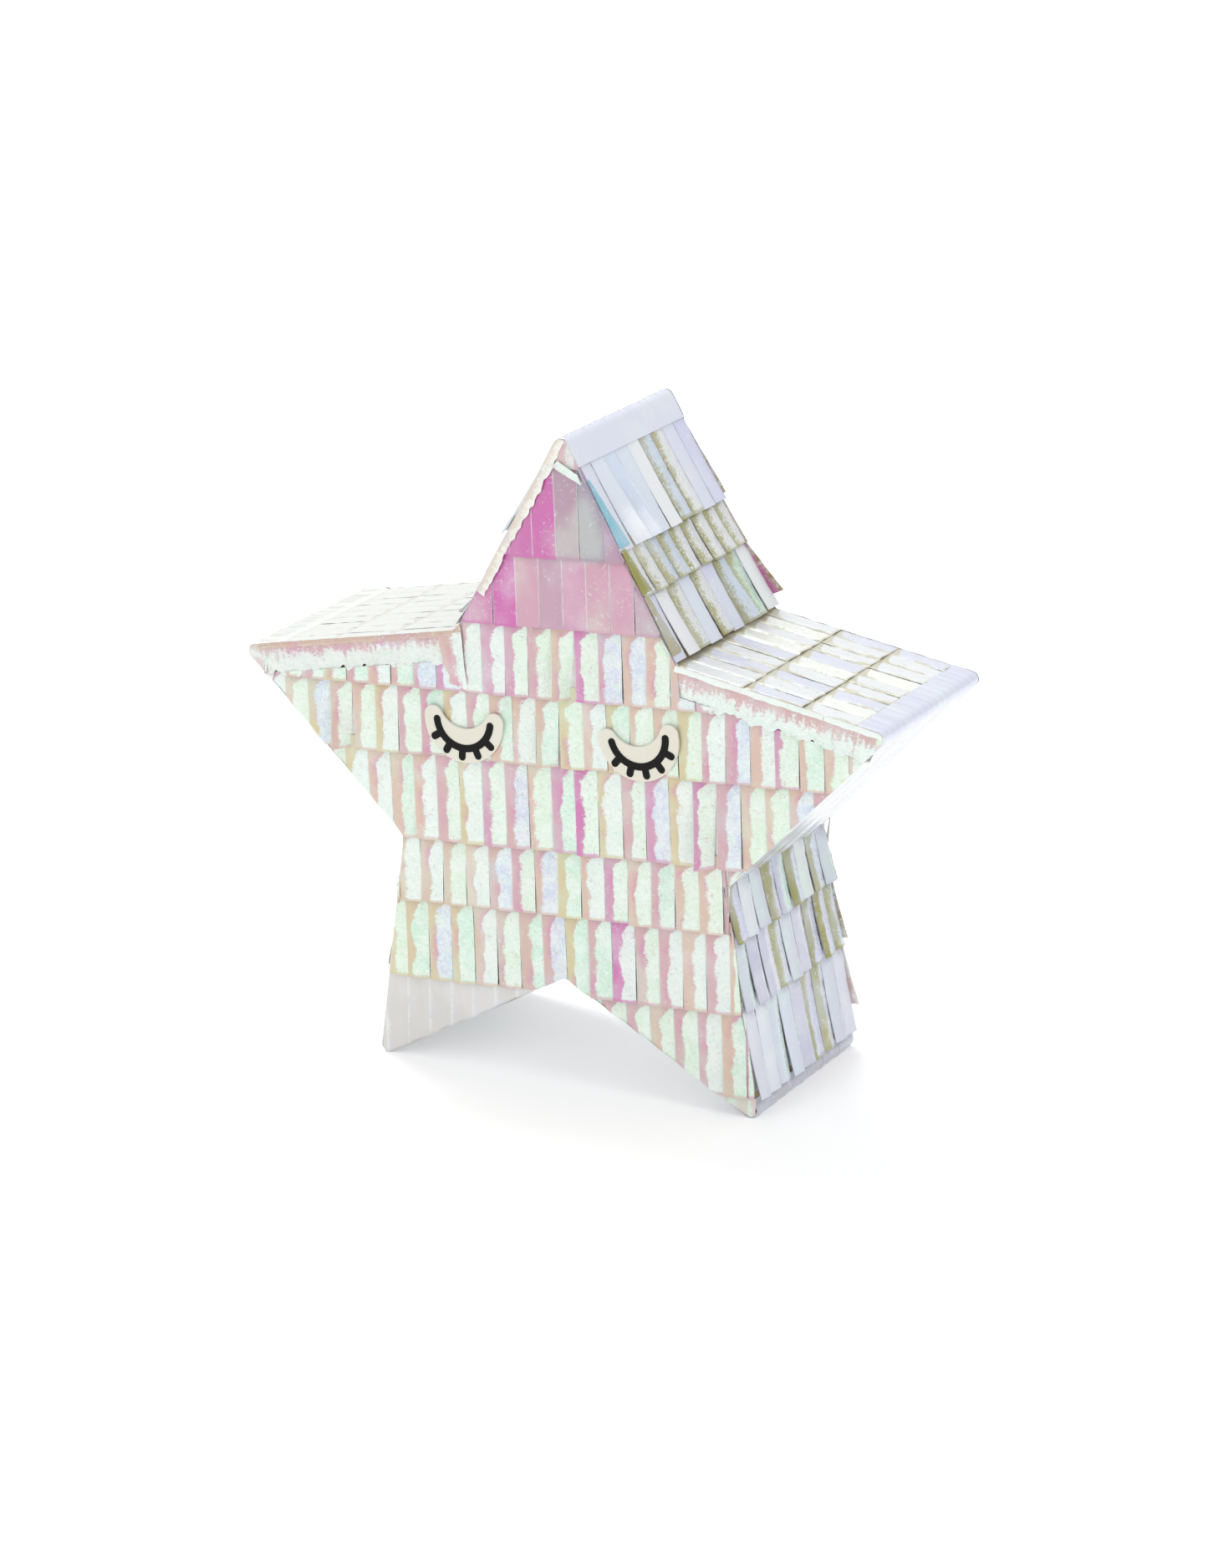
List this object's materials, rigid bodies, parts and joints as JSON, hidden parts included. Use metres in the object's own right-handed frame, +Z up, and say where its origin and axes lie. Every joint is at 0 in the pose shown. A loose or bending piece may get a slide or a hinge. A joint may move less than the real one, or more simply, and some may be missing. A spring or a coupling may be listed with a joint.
{
  "type": "star pinata",
  "caption": "Free-standing star-shaped card pinata covered in iridescent foil fringe, with sleeping-eye stickers, a hinged filling flap in the back and a punched hanging hole.",
  "frame": {"origin": "middle of the floor under the part's bounding box", "axes": "+Z up, -Y out of the face with the eyes, +X to the right seen from that side"},
  "size_m": [0.3368, 0.1114, 0.3182],
  "materials": {
    "card": "matte",
    "seam_tape": "matte",
    "foil_front": "gloss",
    "foil_back": "gloss",
    "foil_wall": "gloss",
    "foil_wrap": "gloss",
    "sticker": "satin",
    "print": "satin"
  },
  "bodies": {
    "shell": {"front_panel": "card", "back_panel": "card", "top_point_wall": "card", "right_arm_wall": "card", "right_leg_wall": "card", "left_leg_wall": "card", "left_arm_wall": "card", "front_seam_tape": "seam_tape", "back_seam_tape": "seam_tape", "cord_patch": "card", "front_fringe_1": "foil_front", "front_fringe_2": "foil_front", "front_fringe_3": "foil_front", "front_fringe_4": "foil_front", "front_fringe_5": "foil_front", "front_fringe_6": "foil_front", "front_fringe_7": "foil_front", "front_fringe_8": "foil_front", "right_arm_band": "foil_front", "left_arm_band": "foil_front", "back_fringe_1": "foil_back", "back_fringe_2": "foil_back", "back_fringe_3": "foil_back", "back_fringe_4": "foil_back", "back_fringe_5": "foil_back", "back_fringe_6": "foil_back", "back_fringe_7": "foil_back", "back_fringe_8": "foil_back", "top_right_fringe": "foil_wall", "right_arm_top_fringe": "foil_wall", "right_leg_outer_fringe": "foil_wall", "left_leg_outer_fringe": "foil_wall", "left_arm_top_fringe": "foil_wall", "top_left_fringe": "foil_wall", "right_arm_under_film": "foil_wrap", "right_leg_inner_film": "foil_wrap", "left_leg_inner_film": "foil_wrap", "left_arm_under_film": "foil_wrap", "top_wrap": "foil_wrap", "right_arm_wrap": "foil_wrap", "right_foot_wrap": "foil_wrap", "left_foot_wrap": "foil_wrap", "left_arm_wrap": "foil_wrap", "eye_sticker_left": "sticker", "eye_sticker_right": "sticker", "lash_print_left": "print", "lash_print_right": "print"},
    "flap": {"flap_panel": "card", "flap_fringe_upper": "foil_back", "flap_fringe_lower": "foil_back"}
  },
  "joints": [
    {"name": "flap_hinge", "type": "hinge", "parent": "shell", "child": "flap", "pos_m": [0.00283, 0.0535, 0.1875], "axis": [1, 0, 0], "range_deg": [0, 100]}
  ]
}
